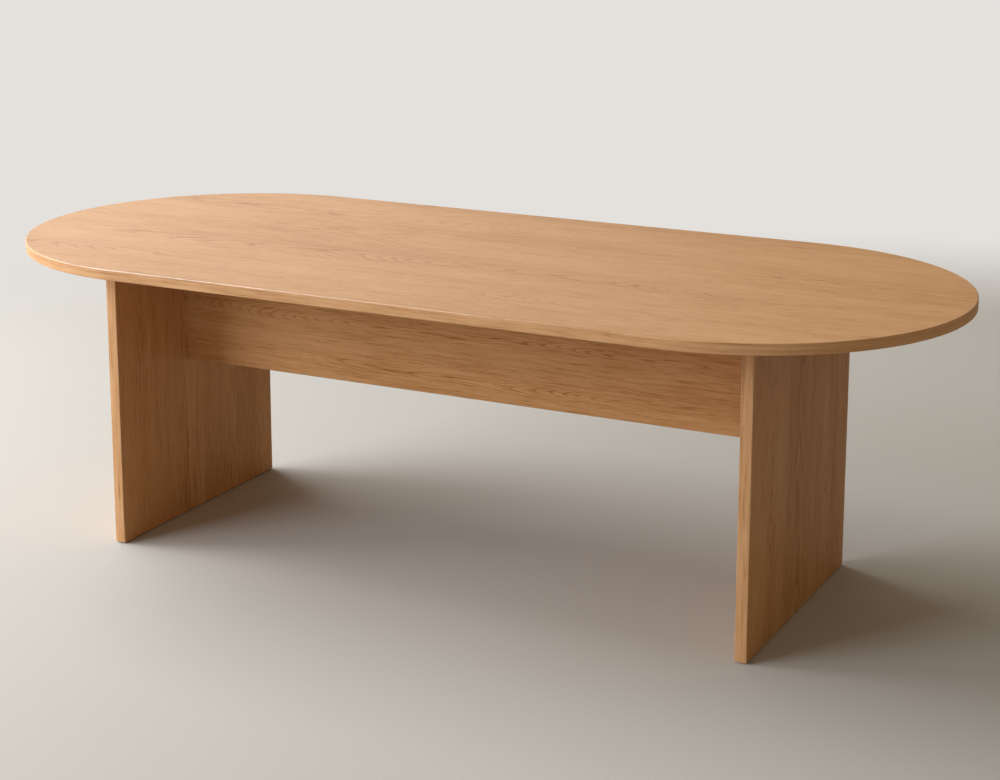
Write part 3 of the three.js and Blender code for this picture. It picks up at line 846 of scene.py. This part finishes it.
def foot_insert(node):
    """A flanged sleeve: its section, rounded at the rims, turned as a tube."""
    low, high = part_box(node)
    length = high.z - low.z
    flange = (high.x - low.x) / 2
    section = rounded([
        (INSERT_BORE, length / 2),
        (INSERT_BORE, 0),
        (flange, 0),
        (flange, INSERT_FLANGE),
        (INSERT_RADIUS, INSERT_FLANGE),
        (INSERT_RADIUS, length),
        (INSERT_BORE, length),
        (INSERT_BORE, length / 2),
    ], INSERT_FLANGE / 4)
    return revolved(node, UP, section[:-1], zinc_plate, tube=True)


def cam_cap(node):
    """A cover cap: a spigot, a thin rim and a flat crown.

    The crown falls to the rim as the distance from its middle, raised to CAP_CROWN_POWER.
    """
    low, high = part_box(node)
    crown = high.y - low.y
    radius = (high.x - low.x) / 2
    spigot = rounded([
        (CAP_SPIGOT / 2, 0),
        (CAP_SPIGOT, 0),
        (CAP_SPIGOT, CAP_SEAT),
        (radius, CAP_SEAT),
        (radius, CAP_SEAT + CAP_RIM),
    ], CAP_RIM / 2)
    share = np.linspace(1, CAP_MIDDLE, CAP_RINGS)
    rise = (crown - CAP_SEAT - CAP_RIM) * (1 - share ** CAP_CROWN_POWER)
    dome = np.column_stack([radius * share, CAP_SEAT + CAP_RIM + rise])
    return revolved(node, TO_BACK, np.concatenate([spigot, dome[1:]]), oak_plastic)


def cam_bolt(node, inwards):
    """A thread for the leg, a collar, a plain shank, and a neck and head for the cam."""
    low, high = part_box(node)
    length = high.x - low.x
    collar = (high.y - low.y) / 2
    profile = rounded([
        (BOLT_RADIUS - BOLT_THREAD, 0),
        (BOLT_RADIUS, BOLT_THREAD),
        (BOLT_RADIUS, BOLT_FACE),
        (collar, BOLT_FACE),
        (collar, BOLT_FACE + BOLT_COLLAR),
        (BOLT_SHANK, BOLT_FACE + BOLT_COLLAR),
        (BOLT_SHANK, length - BOLT_HEAD - BOLT_NECK_LENGTH),
        (BOLT_NECK, length - BOLT_HEAD - BOLT_NECK_LENGTH),
        (BOLT_NECK, length - BOLT_HEAD),
        (BOLT_HEAD_RADIUS, length - BOLT_HEAD + BOLT_BEVEL),
        (BOLT_HEAD_RADIUS, length - BOLT_BEVEL),
        (BOLT_HEAD_RADIUS - BOLT_BEVEL, length),
    ], BOLT_BEVEL / 4)
    thread = (BOLT_THREAD, BOLT_FACE - BOLT_THREAD)
    return threaded(node, inwards, profile, *thread, BOLT_PITCH, BOLT_THREAD, zinc_plate)


def fluted_dowel(node, inwards):
    """A dowel whose radius dips as a cosine in DOWEL_FLUTES even flutes, with chamfered ends."""
    low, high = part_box(node)
    length = high.x - low.x
    radius = (high.y - low.y) / 2
    chamfer = radius / 4
    profile = rounded([
        (radius - chamfer, 0),
        (radius, chamfer),
        (radius, length - chamfer),
        (radius - chamfer, length),
    ], chamfer / 2)
    turn = np.linspace(0, 2 * np.pi, 2 * ROUND_SIDES, endpoint=False)
    flutes = DOWEL_FLUTE / 2 * (1 + np.cos(DOWEL_FLUTES * turn))
    heights = np.repeat(profile[:, 1:], turn.size, axis=1)
    return turned_piece(node, inwards, profile[:, :1] - flutes, heights, beech)


def pan_head_screw(node, axis):
    """A pan head with a cross recess, and a threaded shank that tapers to a point.

    The head's top is a polar grid: its height falls by SCREW_RECESS inside the two arms of the cross.
    """
    low, high = (np.array(corner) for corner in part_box(node))
    length = float((high - low) @ np.abs(axis))
    turn = np.linspace(0, 2 * np.pi, ROUND_SIDES, endpoint=False)
    reach = np.linspace(SCREW_CROWN / SCREW_RINGS, SCREW_CROWN, SCREW_RINGS)[:, None]
    arm_x = np.abs(reach * np.cos(turn))
    arm_y = np.abs(reach * np.sin(turn))
    arm_along_x = np.maximum(arm_x - SCREW_ARM, arm_y - SCREW_SLOT)
    arm_along_y = np.maximum(arm_y - SCREW_ARM, arm_x - SCREW_SLOT)
    outside = np.minimum(arm_along_x, arm_along_y)
    recess = SCREW_RECESS * np.clip(0.5 - outside / SCREW_SLOT, 0, 1)
    head = rounded([
        (SCREW_CROWN, 0),
        (SCREW_HEAD, SCREW_HEAD_HEIGHT / 2),
        (SCREW_HEAD, SCREW_HEAD_HEIGHT),
        (SCREW_RADIUS, SCREW_HEAD_HEIGHT),
    ], SCREW_HEAD_HEIGHT / 2)
    count = int((length - SCREW_HEAD_HEIGHT) / SCREW_PITCH * THREAD_RINGS)
    shank = np.linspace(SCREW_HEAD_HEIGHT, length, count)[1:]
    taper = np.clip((length - shank) / SCREW_POINT, SCREW_TIP, 1)
    cut = thread_depth(shank, SCREW_HEAD_HEIGHT, length, SCREW_PITCH, SCREW_THREAD) * taper[:, None]
    sides = np.ones(ROUND_SIDES)
    radii = np.concatenate([reach * sides, head[:, :1] * sides, (SCREW_RADIUS * taper)[:, None] - cut])
    heights = np.concatenate([recess, head[:, 1:] * sides, shank[:, None] * sides])
    return turned_piece(node, axis, radii, heights, zinc_plate)


for side, inwards in zip(SIDES, (TO_RIGHT, TO_LEFT)):
    for end in ENDS:
        foot = f"{side}_{end}_foot"
        stand_for(foot_pad(f"{foot}_pad"), f"{foot}_pad", f"{side}_{end}_pad")
        stand_for(foot_stem(f"{foot}_stem"), f"{foot}_stem", f"{side}_{end}_stem")
        stand_for(foot_insert(f"{foot}_insert"), f"{foot}_insert", "table")
    for level in LEVELS:
        joint = f"{side}_{level}"
        stand_for(cam_cap(f"{joint}_cam_cap"), f"{joint}_cam_cap", "table")
        stand_for(cam_bolt(f"{joint}_cam_bolt", inwards), f"{joint}_cam_bolt", "table")
        stand_for(fluted_dowel(f"{joint}_dowel", inwards), f"{joint}_dowel", "table")
        finish_node(f"{joint}_cam", cast_zinc)
for bracket in BRACKETS:
    finish_node(bracket, zinc_plate)
    into_panel = INTO_PANEL[bracket.split("_")[0]]
    for screw, axis in ((f"{bracket}_top_screw", UP), (f"{bracket}_panel_screw", into_panel)):
        stand_for(pan_head_screw(screw, axis), screw, "table")


# Floor, light and camera

def pale_floor():
    """A round pale floor with a faint fine mottle, which fades into the surroundings over FLOOR_FADE."""
    finish = Finish("pale_floor")
    middle_x, middle_y = FLOOR_MIDDLE
    grain = finish.grain(ALONG_X, (-middle_x, -middle_y, 0.0))
    tone = finish.scaled(finish.noise(grain, FLOOR_MOTTLE), FLOOR_MOTTLE_SHARE, MIDDLE_TONE)
    colour = finish.ramp(tone, ((0.0, FLOOR_DARK), (1.0, FLOOR_PALE)))
    radius = finish.node("ShaderNodeVectorMath", {0: grain}, operation="LENGTH").outputs["Value"]
    fade_start, fade_end = FLOOR_FADE
    shown = finish.step(radius, fade_end, fade_start)
    finish.shade(Base_Color=colour, Roughness=FLOOR_ROUGHNESS, Alpha=shown)
    turn = np.linspace(0, 2 * np.pi, ROUND_SIDES, endpoint=False)
    rim_x = middle_x + fade_end * np.cos(turn)
    rim_y = middle_y + fade_end * np.sin(turn)
    rim = np.column_stack([rim_x, rim_y, np.zeros(ROUND_SIDES)])
    mesh = bpy.data.meshes.new("floor")
    mesh.from_pydata(rim, [], [range(ROUND_SIDES)])
    mesh.materials.append(finish.material)
    floor = bpy.data.objects.new("floor", mesh)
    bpy.context.scene.collection.objects.link(floor)


def soft_light(softbox):
    """A softbox at its place, turned to face its target."""
    light = bpy.data.lights.new(softbox.name, "AREA")
    light.shape = "RECTANGLE"
    light.size, light.size_y = softbox.size
    light.energy = softbox.watts
    light.color = softbox.colour
    lamp = bpy.data.objects.new(softbox.name, light)
    lamp.location = softbox.place
    lamp.rotation_mode = "QUATERNION"
    lamp.rotation_quaternion = (Vector(softbox.target) - Vector(softbox.place)).to_track_quat("-Z", "Y")
    bpy.context.scene.collection.objects.link(lamp)


def studio():
    """Dim surroundings that glow on one side, a backdrop that only the camera sees, and the softboxes."""
    world = bpy.data.worlds.new("studio")
    world.use_nodes = True
    nodes = world.node_tree.nodes
    pattern = Pattern(world.node_tree)
    way = pattern.node("ShaderNodeTexCoord", {}).outputs["Generated"]
    towards = pattern.node("ShaderNodeVectorMath", {0: way, 1: GLOW_SIDE}, operation="DOT_PRODUCT")
    glow = pattern.step(towards.outputs["Value"], *GLOW_SPREAD, smooth=False)
    surroundings = nodes["Background"]
    pattern.feed(surroundings.inputs["Color"], pattern.mix(glow, DIM_LIGHT, SIDE_GLOW))
    backdrop = pattern.node("ShaderNodeBackground", {"Color": srgb(*BACKDROP_TONE)})
    seen = pattern.node("ShaderNodeLightPath", {}).outputs["Is Camera Ray"]
    lights = {0: seen, 1: surroundings.outputs[0], 2: backdrop.outputs[0]}
    shown = pattern.node("ShaderNodeMixShader", lights)
    pattern.feed(nodes["World Output"].inputs["Surface"], shown.outputs[0])
    bpy.context.scene.world = world
    for softbox in SOFTBOXES:
        soft_light(softbox)
    bpy.context.scene.view_settings.view_transform = "Standard"


def photograph_camera():
    """A camera in front of the right end, turned to the middle and tipped down, with its frame shifted."""
    camera = bpy.data.objects.new("camera", bpy.data.cameras.new("camera"))
    camera.data.lens = FOCAL_PIXELS / IMAGE_WIDTH * camera.data.sensor_width
    camera.data.shift_y = CAMERA_SHIFT
    camera.location = CAMERA_PLACE
    level = math.cos(CAMERA_PITCH)
    forward = (-math.sin(CAMERA_TURN) * level, math.cos(CAMERA_TURN) * level, -math.sin(CAMERA_PITCH))
    camera.rotation_mode = "QUATERNION"
    camera.rotation_quaternion = Vector(forward).to_track_quat("-Z", "Y")
    bpy.context.scene.collection.objects.link(camera)
    bpy.context.scene.camera = camera


pale_floor()
studio()
photograph_camera()
